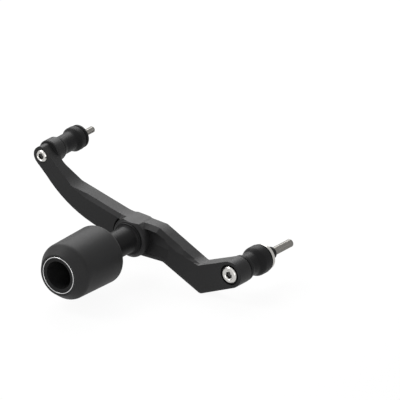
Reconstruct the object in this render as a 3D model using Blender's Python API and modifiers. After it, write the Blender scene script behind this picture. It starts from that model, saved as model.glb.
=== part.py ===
"""Motorcycle crash protector: a bent bar arm on two frame bolts, with a hollow bobbin on a spindle.

The world frame is in metres: +X runs forward along the arm, +Y inboard towards the motorcycle and +Z up.
Its origin lies on the lower frame bolt's axis, in the plane where the lower washer meets the motorcycle.
All sizes below are in the arm's own frame, whose origin is where the spindle's axis meets the arm's flat
outer face, and the arm_datum empty places that frame in the world.
"""
import math

import bmesh
import bpy
from mathutils import Vector

MM = 0.001
JOINT_GAP = 0.3 * MM
ARC_TOLERANCE = 0.08 * MM
WIDEST_ARC_STEP = math.radians(18)

# Arm: places of the two frame bolts from the spindle
UPPER_BOLT_BACK, UPPER_BOLT_RISE = 113.7 * MM, 57.5 * MM
LOWER_BOLT_FORWARD, LOWER_BOLT_DROP = 123.0 * MM, 8.7 * MM
SPINDLE_AT = Vector((0, 0))
UPPER_BOLT_AT = Vector((-UPPER_BOLT_BACK, UPPER_BOLT_RISE))
LOWER_BOLT_AT = Vector((LOWER_BOLT_FORWARD, -LOWER_BOLT_DROP))

# Arm: corners of the bar's outline, each set out as (x, z) from the axis it stays with
TOP_CROWN = UPPER_BOLT_AT + Vector((0.4, 9.9)) * MM
TOP_BEND = UPPER_BOLT_AT + Vector((37.7, -22.9)) * MM
TOP_HIP = SPINDLE_AT + Vector((-15.0, 18.9)) * MM
TOP_SHOULDER = SPINDLE_AT + Vector((31.3, 16.0)) * MM
TOP_ELBOW = LOWER_BOLT_AT + Vector((-40.0, -0.6)) * MM
BOTTOM_BELLY = UPPER_BOLT_AT + Vector((28.0, -46.0)) * MM
BOTTOM_HIP = SPINDLE_AT + Vector((-23.0, -8.6)) * MM
BOTTOM_KEEL = SPINDLE_AT + Vector((11.0, -18.3)) * MM
BOTTOM_SHOULDER = SPINDLE_AT + Vector((38.5, -17.0)) * MM
BOTTOM_ELBOW = LOWER_BOLT_AT + Vector((-38.0, -31.6)) * MM
TOP_ROUNDS = [4.0 * MM, 8.0 * MM, 30.0 * MM, 4.0 * MM, 3.0 * MM]
BOTTOM_ROUNDS = [6.0 * MM, 6.0 * MM, 8.0 * MM, 8.0 * MM, 8.0 * MM, 130.0 * MM]
STRAP_SIDE = 112.7

# Arm: its section, bosses and recesses
ARM_THICKNESS = 18.5 * MM
ARM_THIN = 12.5 * MM
ARM_EDGE = 0.8 * MM
BOTTOM_EDGE = 3.0 * MM
UPPER_END_RADIUS = 10.0 * MM
UPPER_ARC_START, UPPER_ARC_END = 221.5, 100.0
UPPER_BOSS_RADIUS = 12.4 * MM
UPPER_BOSS_DEPTH = 25.0 * MM
LOWER_END_RADIUS = 14.0 * MM
LOWER_PAD_RADIUS = 13.4 * MM
INNER_PAD_HEIGHT = 1.0 * MM
SPINDLE_BOSS_RADIUS = 20.6 * MM
SPINDLE_BOSS_FACE_RADIUS = 17.8 * MM
SPINDLE_BOSS_HEIGHT = 6.0 * MM
SPINDLE_BOSS_CONE = 2.8 * MM
BOSS_EDGE = 1.0 * MM
RELIEF_RADIUS = 23.4 * MM
RELIEF_DEPTH = 2.6 * MM
RELIEF_COVE = 2.4 * MM
SCOOP_START_X, SCOOP_END_X = 17.0 * MM, 46.0 * MM
SCOOP_DEPTH = 4.6 * MM
FACE_RIM = 4.0 * MM
POCKET_DEPTH = 8.0 * MM
POCKET_WALL = 5.5 * MM
POCKET_ROUND = 4.5 * MM
TAPER_START_X, TAPER_START_ROUND = -75.0 * MM, 20.0 * MM
TAPER_END_X, TAPER_END_ROUND = -93.5 * MM, 8.0 * MM
BOSS_FILLET = 5.5 * MM

# Arm: the facet along its top front edge, as (x, depth into the top face, depth into the front face)
TOP_FACET = [
    (-76.0 * MM, 0.2 * MM, 0.2 * MM), (-58.0 * MM, 3.5 * MM, 3.5 * MM), (-15.0 * MM, 3.5 * MM, 3.6 * MM),
    (20.0 * MM, 5.8 * MM, 4.3 * MM), (31.3 * MM, 5.5 * MM, 4.2 * MM), (45.0 * MM, 5.4 * MM, 4.8 * MM),
    (58.0 * MM, 5.3 * MM, 4.9 * MM), (68.0 * MM, 4.7 * MM, 2.6 * MM), (76.0 * MM, 4.0 * MM, 1.0 * MM),
    (82.4 * MM, 3.4 * MM, 0.2 * MM),
]
FACET = [(1.0, 0.0), (0.0, 1.0)]
ROUNDING = [(1.0, 0.0), (0.40, 0.13), (0.13, 0.40), (0.0, 1.0)]

# Spindle and its screw
SPINDLE_RADIUS = 13.8 * MM
COLLAR_RADIUS = 16.6 * MM
COLLAR_THICKNESS = 1.8 * MM
COLLAR_FILLET = 2.3 * MM
SPINDLE_SEAT_DEPTH = 1.5 * MM
SPINDLE_BOLT_RADIUS = 4.9 * MM
SPINDLE_BOLT_LENGTH = 40.0 * MM
CAP_HEAD_RADIUS = 8.0 * MM
CAP_HEAD_HEIGHT = 10.0 * MM
CAP_KEY_RADIUS = 4.6 * MM
SCREW_WASHER_RADIUS = 10.4 * MM
SCREW_WASHER_THICKNESS = 2.0 * MM
INNER_STEP_RADIUS = 15.0 * MM
INNER_STEP_DEPTH = 1.8 * MM
INNER_BORE_DEPTH = 9.0 * MM

# Bobbin
BOBBIN_STANDOFF = 51.0 * MM
BOBBIN_LENGTH = 70.0 * MM
BOBBIN_REAR_RADIUS = 30.9 * MM
BOBBIN_SHOULDER_RADIUS = 29.7 * MM
BOBBIN_NOSE_RADIUS = 21.8 * MM
BOBBIN_CONE_LENGTH = 11.4 * MM
BOBBIN_NOSE_ROUND = 0.9 * MM
BOBBIN_SHOULDER_ROUND = 9.0 * MM
BOBBIN_REAR_ROUND = 5.0 * MM
BOBBIN_REAR_RECESS = 3.0 * MM
BOBBIN_RECESS_RADIUS = 19.8 * MM
CORE_RADIUS = 17.4 * MM
CORE_BORE_RADIUS = 14.8 * MM
CORE_WEB = 8.0 * MM
CORE_SOCKET_DEPTH = 16.5 * MM
CORE_LIP = 0.8 * MM
BOBBIN_BOLT_LENGTH = 36.0 * MM
NOSE_RING_RADIUS = 19.8 * MM
NOSE_RING_THICKNESS = 2.8 * MM

# Upper frame bolt and its stack
UPPER_STUD_RADIUS = 3.3 * MM
UPPER_HEAD_RADIUS = 6.3 * MM
UPPER_HEAD_HEIGHT = 5.0 * MM
UPPER_HEAD_PROUD = 1.3 * MM
UPPER_KEY_RADIUS = 3.5 * MM
UPPER_KEY_DEPTH = 3.0 * MM
UPPER_SPACER_LENGTH = 32.2 * MM
UPPER_SPACER_FOOT = 11.7 * MM
UPPER_FOOT_LENGTH = 4.8 * MM
UPPER_SPACER_WAIST = 9.8 * MM
UPPER_SPACER_FLARE = 12.6 * MM
UPPER_FLARE_LENGTH = 11.5 * MM
UPPER_FLARE_RISE = 4.5 * MM
UPPER_WAIST_ROUND, UPPER_FLARE_ROUND, UPPER_RIM_ROUND = 5.0 * MM, 4.0 * MM, 1.4 * MM
UPPER_RING_RADIUS = 11.6 * MM
UPPER_RING_THICKNESS = 1.7 * MM
UPPER_WASHER_RADIUS = 12.1 * MM
UPPER_WASHER_THICKNESS = 2.7 * MM
UPPER_STUD_REACH = 21.6 * MM

# Lower frame bolt and its stack
LOWER_STUD_RADIUS = 4.2 * MM
LOWER_HEAD_RADIUS = 8.75 * MM
LOWER_HEAD_HEIGHT = 5.5 * MM
LOWER_HEAD_PROUD = 1.2 * MM
LOWER_KEY_RADIUS = 4.1 * MM
LOWER_KEY_DEPTH = 3.2 * MM
LOWER_COUNTERBORE_RADIUS = 11.0 * MM
LOWER_SPACER_LENGTH = 31.6 * MM
LOWER_SPACER_FOOT = 13.0 * MM
LOWER_SPACER_WAIST = 11.9 * MM
LOWER_SPACER_BULB = 15.2 * MM
LOWER_BULB_LENGTH = 16.2 * MM
LOWER_BULB_RISE = 5.2 * MM
LOWER_FOOT_LENGTH = 2.2 * MM
LOWER_NECK_LENGTH = 4.3 * MM
LOWER_WAIST_ROUND, LOWER_BULB_ROUND, LOWER_RIM_ROUND = 5.0 * MM, 9.0 * MM, 1.8 * MM
LOWER_RING_RADIUS = 14.6 * MM
LOWER_RING_THICKNESS = 3.0 * MM
LOWER_WASHER_RADIUS = 13.7 * MM
LOWER_WASHER_THICKNESS = 2.8 * MM
RETAINER_RADIUS = 6.4 * MM
RETAINER_THICKNESS = 3.5 * MM
LOWER_STUD_REACH = 42.7 * MM

# Clearances of the bolts in their holes, and edges that several pieces share
HOLE_CLEARANCE = 0.35 * MM
HEAD_CLEARANCE = 0.5 * MM
TURNED_EDGE = 0.8 * MM
WASHER_EDGE = 0.4 * MM

# Cutting tools reach past what they cut, and bosses start inside what they join
REACH = 10.0 * MM
FAR = 200.0 * MM
SINK = 0.3 * MM
NEAR = 0.01 * MM
WELD = 0.001 * MM
OVERSHOOT = 0.4

# Planes across the Y axis, worked out from the pieces that stack up between them
BOSS_FACE_Y = -SPINDLE_BOSS_HEIGHT
SPINDLE_SEAT_Y = BOSS_FACE_Y + SPINDLE_SEAT_DEPTH
BOBBIN_REAR_Y = -BOBBIN_STANDOFF
NOSE_Y = BOBBIN_REAR_Y - BOBBIN_LENGTH
CORE_REAR_Y = BOBBIN_REAR_Y + CORE_LIP
WEB_REAR_Y = CORE_REAR_Y - CORE_SOCKET_DEPTH
WEB_FRONT_Y = WEB_REAR_Y - CORE_WEB
CORE_FRONT_Y = NOSE_Y + NOSE_RING_THICKNESS + JOINT_GAP
INNER_FACE_Y = ARM_THICKNESS + INNER_PAD_HEIGHT
SCREW_SEAT_Y = INNER_FACE_Y - INNER_BORE_DEPTH
INNER_STEP_Y = INNER_FACE_Y - INNER_STEP_DEPTH
UPPER_HEAD_SEAT_Y = UPPER_HEAD_HEIGHT - UPPER_HEAD_PROUD + JOINT_GAP
LOWER_HEAD_SEAT_Y = LOWER_HEAD_HEIGHT - LOWER_HEAD_PROUD + JOINT_GAP
LOWER_SPACER_Y = INNER_FACE_Y + JOINT_GAP
LOWER_RING_Y = LOWER_SPACER_Y + LOWER_SPACER_LENGTH + JOINT_GAP
LOWER_WASHER_Y = LOWER_RING_Y + LOWER_RING_THICKNESS + JOINT_GAP
LOWER_SEAT_Y = LOWER_WASHER_Y + LOWER_WASHER_THICKNESS
UPPER_SPACER_Y = UPPER_BOSS_DEPTH + JOINT_GAP
UPPER_RING_Y = UPPER_SPACER_Y + UPPER_SPACER_LENGTH + JOINT_GAP
UPPER_WASHER_Y = UPPER_RING_Y + UPPER_RING_THICKNESS + JOINT_GAP
UPPER_SEAT_Y = UPPER_WASHER_Y + UPPER_WASHER_THICKNESS


def clear_scene():
    for obj in list(bpy.data.objects):
        bpy.data.objects.remove(obj, do_unlink=True)


def new_collection(name):
    collection = bpy.data.collections.new(name)
    bpy.context.scene.collection.children.link(collection)
    return collection


def new_material(name, colour, roughness, metallic):
    material = bpy.data.materials.new(name)
    material.use_nodes = True
    shader = material.node_tree.nodes["Principled BSDF"]
    shader.inputs["Base Color"].default_value = (*colour, 1.0)
    shader.inputs["Roughness"].default_value = roughness
    shader.inputs["Metallic"].default_value = metallic
    return material


def arc_steps(radius, angle):
    """Number of straight steps that keep an arc within the tolerance."""
    step = 2 * math.acos(1 - min(1, ARC_TOLERANCE / radius))
    return max(1, math.ceil(abs(angle) / min(step, WIDEST_ARC_STEP)))


def rounded(corners, closed=True):
    """Points of an outline whose corners, given as (u, v, radius), become arcs."""
    points = []
    count = len(corners)
    for index, (u, v, radius) in enumerate(corners):
        corner = Vector((u, v))
        if radius == 0 or (not closed and index in (0, count - 1)):
            points.append(corner)
            continue
        before = (Vector(corners[index - 1][:2]) - corner).normalized()
        after = (Vector(corners[(index + 1) % count][:2]) - corner).normalized()
        half = before.angle(after) / 2
        centre = corner + (before + after).normalized() * radius / math.sin(half)
        start = corner + before * radius / math.tan(half) - centre
        turn = math.pi - 2 * half
        sign = 1 if before.x * after.y - before.y * after.x < 0 else -1
        steps = arc_steps(radius, turn)
        for step in range(steps + 1):
            angle = sign * turn * step / steps
            cos, sin = math.cos(angle), math.sin(angle)
            points.append(centre + Vector((start.x * cos - start.y * sin, start.x * sin + start.y * cos)))
    return [tuple(point) for point in points]


def put(obj, material, collection):
    """Files an object under its collection, on the arm's datum, with its material."""
    collection.objects.link(obj)
    obj.parent = bpy.data.objects["arm_datum"]
    if material:
        obj.data.materials.append(material)
    else:
        obj.hide_render = True
        obj.display_type = "WIRE"
    return obj


def bake(obj):
    """Replaces an object's mesh by its evaluated one, welded and with its sharp edges marked."""
    bpy.context.view_layer.update()
    evaluated = obj.evaluated_get(bpy.context.evaluated_depsgraph_get())
    mesh = bpy.data.meshes.new_from_object(evaluated)
    edit = bmesh.new()
    edit.from_mesh(mesh)
    bmesh.ops.remove_doubles(edit, verts=edit.verts, dist=WELD)
    bmesh.ops.dissolve_limit(edit, angle_limit=math.radians(0.05), verts=edit.verts, edges=edit.edges)
    bmesh.ops.recalc_face_normals(edit, faces=edit.faces)
    edit.to_mesh(mesh)
    edit.free()
    mesh.shade_smooth()
    mesh.set_sharp_from_angle(angle=math.radians(30))
    return mesh


def turn(name, outer, bore, place, material, collection, steps=36):
    """Solid of revolution about the Y axis. Both lists hold (y, radius), from outboard to inboard."""
    x, z = place
    profile = [(radius, 0, y) for y, radius in reversed(outer)]
    if bore:
        profile += [(radius, 0, y) for y, radius in bore]
    else:
        profile = [(0, 0, outer[-1][0])] + profile + [(0, 0, outer[0][0])]
    count = len(profile)
    links = [(index, (index + 1) % count) for index in range(count if bore else count - 1)]
    mesh = bpy.data.meshes.new(name)
    mesh.from_pydata(profile, links, [])
    obj = put(bpy.data.objects.new(name, mesh), material, collection)
    screw = obj.modifiers.new("turn", "SCREW")
    screw.axis = "Z"
    screw.angle = math.tau
    screw.steps = screw.render_steps = steps
    screw.use_merge_vertices = True
    screw.merge_threshold = 0.005 * MM
    solid = bake(obj)
    obj.modifiers.clear()
    obj.data = solid
    solid.name = name
    obj.location = (x, 0, z)
    obj.rotation_euler = (-math.pi / 2, 0, 0)
    return obj


def prism(name, outline, near, far, material, collection, across="Y"):
    """Flat outline in the XZ plane carried along Y, or in the XY plane carried along Z."""
    curve = bpy.data.curves.new(name, "CURVE")
    curve.dimensions = "2D"
    curve.fill_mode = "BOTH"
    curve.extrude = (far - near) / 2
    spline = curve.splines.new("POLY")
    spline.points.add(len(outline) - 1)
    for point, (u, v) in zip(spline.points, outline):
        point.co = (u, v, 0, 1)
    spline.use_cyclic_u = True
    flat = bpy.data.objects.new(name + "_outline", curve)
    bpy.context.scene.collection.objects.link(flat)
    mesh = bake(flat)
    mesh.name = name
    bpy.data.objects.remove(flat, do_unlink=True)
    obj = put(bpy.data.objects.new(name, mesh), material, collection)
    middle = (near + far) / 2
    if across == "Y":
        obj.location = (0, middle, 0)
        obj.rotation_euler = (math.pi / 2, 0, 0)
    else:
        obj.location = (0, 0, middle)
    return obj


def combine(target, tool, operation):
    boolean = target.modifiers.new(tool.name, "BOOLEAN")
    boolean.object = tool
    boolean.operation = operation
    boolean.solver = "EXACT"


def key_socket(screw, place, mouth, depth, radius, collection):
    """Cuts a hexagon socket into a screw whose head's top lies at mouth."""
    mesh = bpy.data.meshes.new(screw.name + "_socket")
    edit = bmesh.new()
    bmesh.ops.create_cone(edit, cap_ends=True, segments=6, radius1=radius, radius2=radius,
                          depth=2 * depth)
    edit.to_mesh(mesh)
    edit.free()
    cutter = put(bpy.data.objects.new(mesh.name, mesh), None, collection)
    cutter.location = (place.x, mouth, place.y)
    cutter.rotation_euler = (math.pi / 2, 0, 0)
    combine(screw, cutter, "DIFFERENCE")


def inset(corners, distance):
    """Corners of an outline whose edges are all moved inwards, for corners listed clockwise."""
    moved = []
    count = len(corners)
    for index in range(count):
        before, here, after = corners[index - 1], corners[index], corners[(index + 1) % count]
        along_in = (here - before).normalized()
        along_out = (after - here).normalized()
        normal_in = Vector((along_in.y, -along_in.x))
        normal_out = Vector((along_out.y, -along_out.x))
        middle = (normal_in + normal_out).normalized()
        moved.append(here + middle * distance / middle.dot(normal_in))
    return moved


def on_circle(centre, radius, degrees):
    angle = math.radians(degrees)
    return centre + Vector((math.cos(angle), math.sin(angle))) * radius


def arc_points(centre, radius, start, end):
    steps = arc_steps(radius, math.radians(end - start))
    return [tuple(on_circle(centre, radius, start + (end - start) * step / steps))
            for step in range(steps + 1)]


def top_line():
    """Top of the bar's outline, from the upper bolt's end to the lower one's."""
    corners = [TOP_CROWN, TOP_BEND, TOP_HIP, TOP_SHOULDER, TOP_ELBOW]
    return rounded([
        (*on_circle(UPPER_BOLT_AT, UPPER_END_RADIUS, UPPER_ARC_END), 0),
        *[(*corner, radius) for corner, radius in zip(corners, TOP_ROUNDS)],
        (*on_circle(LOWER_BOLT_AT, LOWER_END_RADIUS, STRAP_SIDE), 0),
    ], closed=False)


def bottom_line():
    """Underside of the bar's outline, from the lower bolt's end back to the upper one's."""
    other_keel = Vector((-BOTTOM_KEEL.x, BOTTOM_KEEL.y))
    corners = [BOTTOM_ELBOW, BOTTOM_SHOULDER, BOTTOM_KEEL, other_keel, BOTTOM_HIP, BOTTOM_BELLY]
    return rounded([
        (*on_circle(LOWER_BOLT_AT, LOWER_END_RADIUS, STRAP_SIDE - 180), 0),
        *[(*corner, radius) for corner, radius in zip(corners, BOTTOM_ROUNDS)],
        (*on_circle(UPPER_BOLT_AT, UPPER_END_RADIUS, UPPER_ARC_START), 0),
    ], closed=False)


def arm_outline():
    """Outline of the bar in the XZ plane, clockwise from the top of the upper bolt's end."""
    lower_arc = arc_points(LOWER_BOLT_AT, LOWER_END_RADIUS, STRAP_SIDE, STRAP_SIDE - 180)
    upper_arc = arc_points(UPPER_BOLT_AT, UPPER_END_RADIUS, UPPER_ARC_START, UPPER_ARC_END)
    return top_line() + lower_arc[1:-1] + bottom_line() + upper_arc[1:-1]


def bevel_where(obj, test, width, segments=1):
    """Bevels the edges whose midpoint and two face normals pass the test, in the object's own axes."""
    edit = bmesh.new()
    edit.from_mesh(obj.data)
    chosen = []
    for edge in edit.edges:
        middle = (edge.verts[0].co + edge.verts[1].co) / 2
        if len(edge.link_faces) == 2 and test(middle, *[face.normal for face in edge.link_faces]):
            chosen.append(edge)
    bmesh.ops.bevel(edit, geom=chosen, offset=width, offset_type="OFFSET", segments=segments,
                    profile=0.5, affect="EDGES", clamp_overlap=True)
    bmesh.ops.remove_doubles(edit, verts=edit.verts, dist=WELD)
    edit.to_mesh(obj.data)
    edit.free()


def model_bar(material, parts, cutters):
    """The bar itself: the outline at full depth, its inner side cut to plan, its edges chamfered."""
    bar = prism("arm", arm_outline(), 0, UPPER_BOSS_DEPTH, material, parts)
    plan = rounded([
        (FAR, ARM_THICKNESS, 0),
        (TAPER_START_X, ARM_THICKNESS, TAPER_START_ROUND),
        (TAPER_END_X, ARM_THIN, TAPER_END_ROUND),
        (-FAR, ARM_THIN, 0),
        (-FAR, FAR, 0),
        (FAR, FAR, 0),
    ])
    inner_side_cut = prism("inner_side_cut", plan, -FAR, FAR, None, cutters, across="Z")
    fillet = turn("boss_fillet", rounded([
        (ARM_THIN - REACH, UPPER_BOSS_RADIUS + BOSS_FILLET + SINK, 0),
        (ARM_THIN, UPPER_BOSS_RADIUS + BOSS_FILLET + SINK, 0),
        (ARM_THIN, UPPER_BOSS_RADIUS - SINK, BOSS_FILLET),
        (UPPER_BOSS_DEPTH + REACH, UPPER_BOSS_RADIUS - SINK, 0),
    ], closed=False), [], UPPER_BOLT_AT, None, cutters)
    combine(inner_side_cut, fillet, "DIFFERENCE")
    combine(bar, inner_side_cut, "DIFFERENCE")
    solid = bake(bar)
    bar.modifiers.clear()
    bar.data = solid
    outer_plane = UPPER_BOSS_DEPTH / 2
    inner_plane = outer_plane - ARM_THICKNESS

    def is_outline(middle, first, second):
        on_outer = abs(middle.z - outer_plane) < NEAR
        on_inner = abs(middle.z - inner_plane) < NEAR and middle.x > TAPER_START_X
        is_square = abs(first.dot(second)) < 0.01 and max(abs(first.z), abs(second.z)) > 0.99
        return (on_outer or on_inner) and is_square

    bevel_where(bar, is_outline, ARM_EDGE)
    combine(bar, edge_cutter("top_facet", facet_stations(), FACET, cutters), "DIFFERENCE")
    combine(bar, edge_cutter("bottom_rounding", bottom_stations(), ROUNDING, cutters), "DIFFERENCE")
    return bar


def facet_stations():
    """Stations of the top facet: the place on the top line over each x, with its two depths."""
    line = [UPPER_BOLT_AT, TOP_BEND, TOP_HIP, TOP_SHOULDER, TOP_ELBOW]
    stations = []
    for x, into_top, into_front in TOP_FACET:
        for start, end in zip(line, line[1:]):
            if start.x <= x <= end.x:
                place = start.lerp(end, (x - start.x) / (end.x - start.x))
        stations.append((place, into_top, into_front))
    return stations


def bottom_stations():
    """Stations of the rounding under the bar, which runs out at both ends."""
    places = [Vector(point) for point in bottom_line()]
    places[0] += (places[1] - places[0]).normalized() * BOTTOM_EDGE
    places[-1] += (places[-2] - places[-1]).normalized() * BOTTOM_EDGE
    sizes = [ARM_EDGE / 2] + [BOTTOM_EDGE] * (len(places) - 2) + [ARM_EDGE / 2]
    return [(place, size, size) for place, size in zip(places, sizes)]


def past(point, neighbour):
    """Point moved on, away from its neighbour in a profile, so that a cutter leaves the surface."""
    return tuple(here + OVERSHOOT * (here - there) for here, there in zip(point, neighbour))


def edge_cutter(name, stations, profile, cutters):
    """Cutter swept along a front edge, between stations in the outline's clockwise order."""
    section = [past(profile[0], profile[1]), *profile[1:-1], past(profile[-1], profile[-2])]
    edit = bmesh.new()
    rings = []
    for index, (place, into_side, into_front) in enumerate(stations):
        before = stations[max(index - 1, 0)][0]
        after = stations[min(index + 1, len(stations) - 1)][0]
        along = (after - before).normalized()
        inward = Vector((along.y, -along.x))
        ring = [(side * into_side, front * into_front) for side, front in section]
        ring.append((ring[-1][0] - BOSS_EDGE, ring[0][1] - BOSS_EDGE))
        rings.append([edit.verts.new((place.x + inward.x * deep, out, place.y + inward.y * deep))
                      for out, deep in ring])
    count = len(section) + 1
    for here, there in zip(rings, rings[1:]):
        for side in range(count):
            other = (side + 1) % count
            edit.faces.new((here[side], here[other], there[other], there[side]))
    edit.faces.new(rings[0])
    edit.faces.new(rings[-1])
    bmesh.ops.triangulate(edit, faces=edit.faces)
    bmesh.ops.recalc_face_normals(edit, faces=edit.faces)
    mesh = bpy.data.meshes.new(name)
    edit.to_mesh(mesh)
    edit.free()
    return put(bpy.data.objects.new(name, mesh), None, cutters)


def add_bosses(arm, cutters):
    upper_boss = turn("upper_boss", [
        (ARM_THIN - 2 * SINK, UPPER_BOSS_RADIUS - 3 * SINK), (ARM_THIN + SINK, UPPER_BOSS_RADIUS),
        (UPPER_BOSS_DEPTH - BOSS_EDGE, UPPER_BOSS_RADIUS),
        (UPPER_BOSS_DEPTH, UPPER_BOSS_RADIUS - BOSS_EDGE),
    ], [], UPPER_BOLT_AT, None, cutters)
    lower_pad = turn("lower_pad", [
        (ARM_THICKNESS / 2, LOWER_PAD_RADIUS), (INNER_FACE_Y - BOSS_EDGE / 2, LOWER_PAD_RADIUS),
        (INNER_FACE_Y, LOWER_PAD_RADIUS - BOSS_EDGE / 2),
    ], [], LOWER_BOLT_AT, None, cutters)
    spindle_boss = turn("spindle_boss", [
        (BOSS_FACE_Y, SPINDLE_BOSS_FACE_RADIUS - BOSS_EDGE / 2),
        (BOSS_FACE_Y + BOSS_EDGE / 2, SPINDLE_BOSS_FACE_RADIUS),
        (BOSS_FACE_Y + SPINDLE_BOSS_CONE, SPINDLE_BOSS_RADIUS),
        (INNER_FACE_Y - BOSS_EDGE, SPINDLE_BOSS_RADIUS), (INNER_FACE_Y, SPINDLE_BOSS_RADIUS - BOSS_EDGE),
    ], [], SPINDLE_AT, None, cutters, steps=56)
    lift = Vector((0, SINK))
    start, end = 2 * TOP_HIP - TOP_SHOULDER + lift, TOP_SHOULDER + lift
    above = Vector((0, 2 * SPINDLE_BOSS_RADIUS))
    trim = prism("boss_top_trim", [start, end, end + above, start + above],
                 BOSS_FACE_Y - REACH, INNER_FACE_Y + REACH, None, cutters)
    combine(spindle_boss, trim, "DIFFERENCE")
    relief = turn("boss_relief", rounded([
        (-REACH, RELIEF_RADIUS, 0), (RELIEF_DEPTH, RELIEF_RADIUS, RELIEF_COVE), (RELIEF_DEPTH, 0, 0),
    ], closed=False)[:-1], [], SPINDLE_AT, None, cutters, steps=56)
    top_middle = (TOP_HIP + TOP_SHOULDER) / 2
    keel_middle = Vector((SPINDLE_AT.x, BOTTOM_KEEL.y))
    rear = [TOP_BEND, TOP_HIP, top_middle, keel_middle, BOTTOM_HIP, BOTTOM_BELLY]
    combine(relief, face_window("relief_window", rear, cutters), "INTERSECT")
    combine(arm, relief, "DIFFERENCE")
    slope = SCOOP_DEPTH / (SCOOP_END_X - SCOOP_START_X)
    plan = [(SCOOP_START_X, -REACH), (SCOOP_END_X + REACH, -REACH), (SCOOP_END_X + REACH, -REACH * slope),
            (SCOOP_START_X, SCOOP_DEPTH)]
    scoop = prism("scoop", plan, -FAR, FAR, None, cutters, across="Z")
    front = [top_middle, TOP_SHOULDER, TOP_ELBOW, BOTTOM_ELBOW, BOTTOM_SHOULDER, BOTTOM_KEEL]
    combine(scoop, face_window("scoop_window", front, cutters), "INTERSECT")
    combine(arm, scoop, "DIFFERENCE")
    for boss in (lower_pad, spindle_boss, upper_boss):
        combine(arm, boss, "UNION")


def face_window(name, corners, cutters):
    """Window that keeps a recess in the outer face inside the bar's rim."""
    outline = rounded([(*corner, POCKET_ROUND) for corner in inset(corners, FACE_RIM)])
    return prism(name, outline, -FAR, FAR, None, cutters)


def cut_recesses(arm, cutters):
    """Lightening pockets in the inner side, then the holes and counterbores of the three axes."""
    rear = [TOP_BEND, TOP_HIP, BOTTOM_HIP, BOTTOM_BELLY]
    front = [TOP_SHOULDER, TOP_ELBOW, BOTTOM_ELBOW, BOTTOM_SHOULDER]
    for name, corners in (("rear_pocket", rear), ("front_pocket", front)):
        outline = rounded([(*corner, POCKET_ROUND) for corner in inset(corners, POCKET_WALL)])
        pocket = prism(name, outline, ARM_THICKNESS - POCKET_DEPTH, FAR, None, cutters)
        combine(arm, pocket, "DIFFERENCE")
    upper_hole = UPPER_STUD_RADIUS + HOLE_CLEARANCE
    lower_hole = LOWER_STUD_RADIUS + HOLE_CLEARANCE
    spindle_hole = SPINDLE_BOLT_RADIUS + HOLE_CLEARANCE
    spindle_fit = SPINDLE_RADIUS + JOINT_GAP
    washer_fit = SCREW_WASHER_RADIUS + HEAD_CLEARANCE
    upper_head = UPPER_HEAD_RADIUS + HEAD_CLEARANCE
    holes = {
        "upper_bolt_hole": (UPPER_BOLT_AT, [
            (-REACH, upper_head), (UPPER_HEAD_SEAT_Y, upper_head), (UPPER_HEAD_SEAT_Y, upper_hole),
            (UPPER_BOSS_DEPTH + REACH, upper_hole)]),
        "lower_bolt_hole": (LOWER_BOLT_AT, [
            (-REACH, LOWER_COUNTERBORE_RADIUS), (LOWER_HEAD_SEAT_Y, LOWER_COUNTERBORE_RADIUS),
            (LOWER_HEAD_SEAT_Y, lower_hole), (INNER_FACE_Y + REACH, lower_hole)]),
        "spindle_hole": (SPINDLE_AT, [
            (BOSS_FACE_Y - REACH, spindle_fit), (SPINDLE_SEAT_Y, spindle_fit),
            (SPINDLE_SEAT_Y, spindle_hole), (SCREW_SEAT_Y, spindle_hole), (SCREW_SEAT_Y, washer_fit),
            (INNER_STEP_Y, washer_fit), (INNER_STEP_Y, INNER_STEP_RADIUS),
            (INNER_FACE_Y + REACH, INNER_STEP_RADIUS)]),
    }
    for name, (place, outer) in holes.items():
        combine(arm, turn(name, outer, [], place, None, cutters), "DIFFERENCE")


def model_spindle(metal, steel, parts, cutters):
    """Spindle and its collar, with the screw that holds it from the arm's inner side."""
    bore = SPINDLE_BOLT_RADIUS + HOLE_CLEARANCE
    start_y = WEB_REAR_Y + JOINT_GAP
    end_y = SPINDLE_SEAT_Y - JOINT_GAP
    collar_end_y = BOSS_FACE_Y - JOINT_GAP
    collar_y = collar_end_y - COLLAR_THICKNESS
    fillet = rounded([
        (start_y, SPINDLE_RADIUS, 0), (collar_y, SPINDLE_RADIUS, COLLAR_FILLET),
        (collar_y, COLLAR_RADIUS - WASHER_EDGE, 0),
    ], closed=False)[1:]
    turn("spindle", [
        (start_y, SPINDLE_RADIUS - TURNED_EDGE), (start_y + TURNED_EDGE, SPINDLE_RADIUS),
        *fillet, (collar_y + WASHER_EDGE, COLLAR_RADIUS), (collar_end_y, COLLAR_RADIUS),
        (collar_end_y, SPINDLE_RADIUS), (end_y, SPINDLE_RADIUS),
    ], [(start_y, bore), (end_y, bore)], SPINDLE_AT, metal, parts, steps=48)
    washer_y = SCREW_SEAT_Y + JOINT_GAP
    turn("spindle_bolt_washer", *washer_rings(washer_y, SCREW_WASHER_THICKNESS, SCREW_WASHER_RADIUS, bore),
         SPINDLE_AT, steel, parts, steps=28)
    head_y = washer_y + SCREW_WASHER_THICKNESS + JOINT_GAP
    head_top = head_y + CAP_HEAD_HEIGHT
    tip = head_y - SPINDLE_BOLT_LENGTH
    screw = turn("spindle_bolt", [
        (tip, SPINDLE_BOLT_RADIUS - TURNED_EDGE), (tip + TURNED_EDGE, SPINDLE_BOLT_RADIUS),
        (head_y, SPINDLE_BOLT_RADIUS), (head_y, CAP_HEAD_RADIUS), (head_top - TURNED_EDGE, CAP_HEAD_RADIUS),
        (head_top, CAP_HEAD_RADIUS - TURNED_EDGE),
    ], [], SPINDLE_AT, steel, parts, steps=24)
    key_socket(screw, SPINDLE_AT, head_top, CAP_HEAD_HEIGHT / 2, CAP_KEY_RADIUS, cutters)


def washer_rings(start, thickness, radius, bore):
    """Outer and bore profiles of a washer with broken edges."""
    edge = WASHER_EDGE
    outer = [(start, radius - edge), (start + edge, radius),
             (start + thickness - edge, radius), (start + thickness, radius - edge)]
    return outer, [(start, bore), (start + thickness, bore)]


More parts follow.
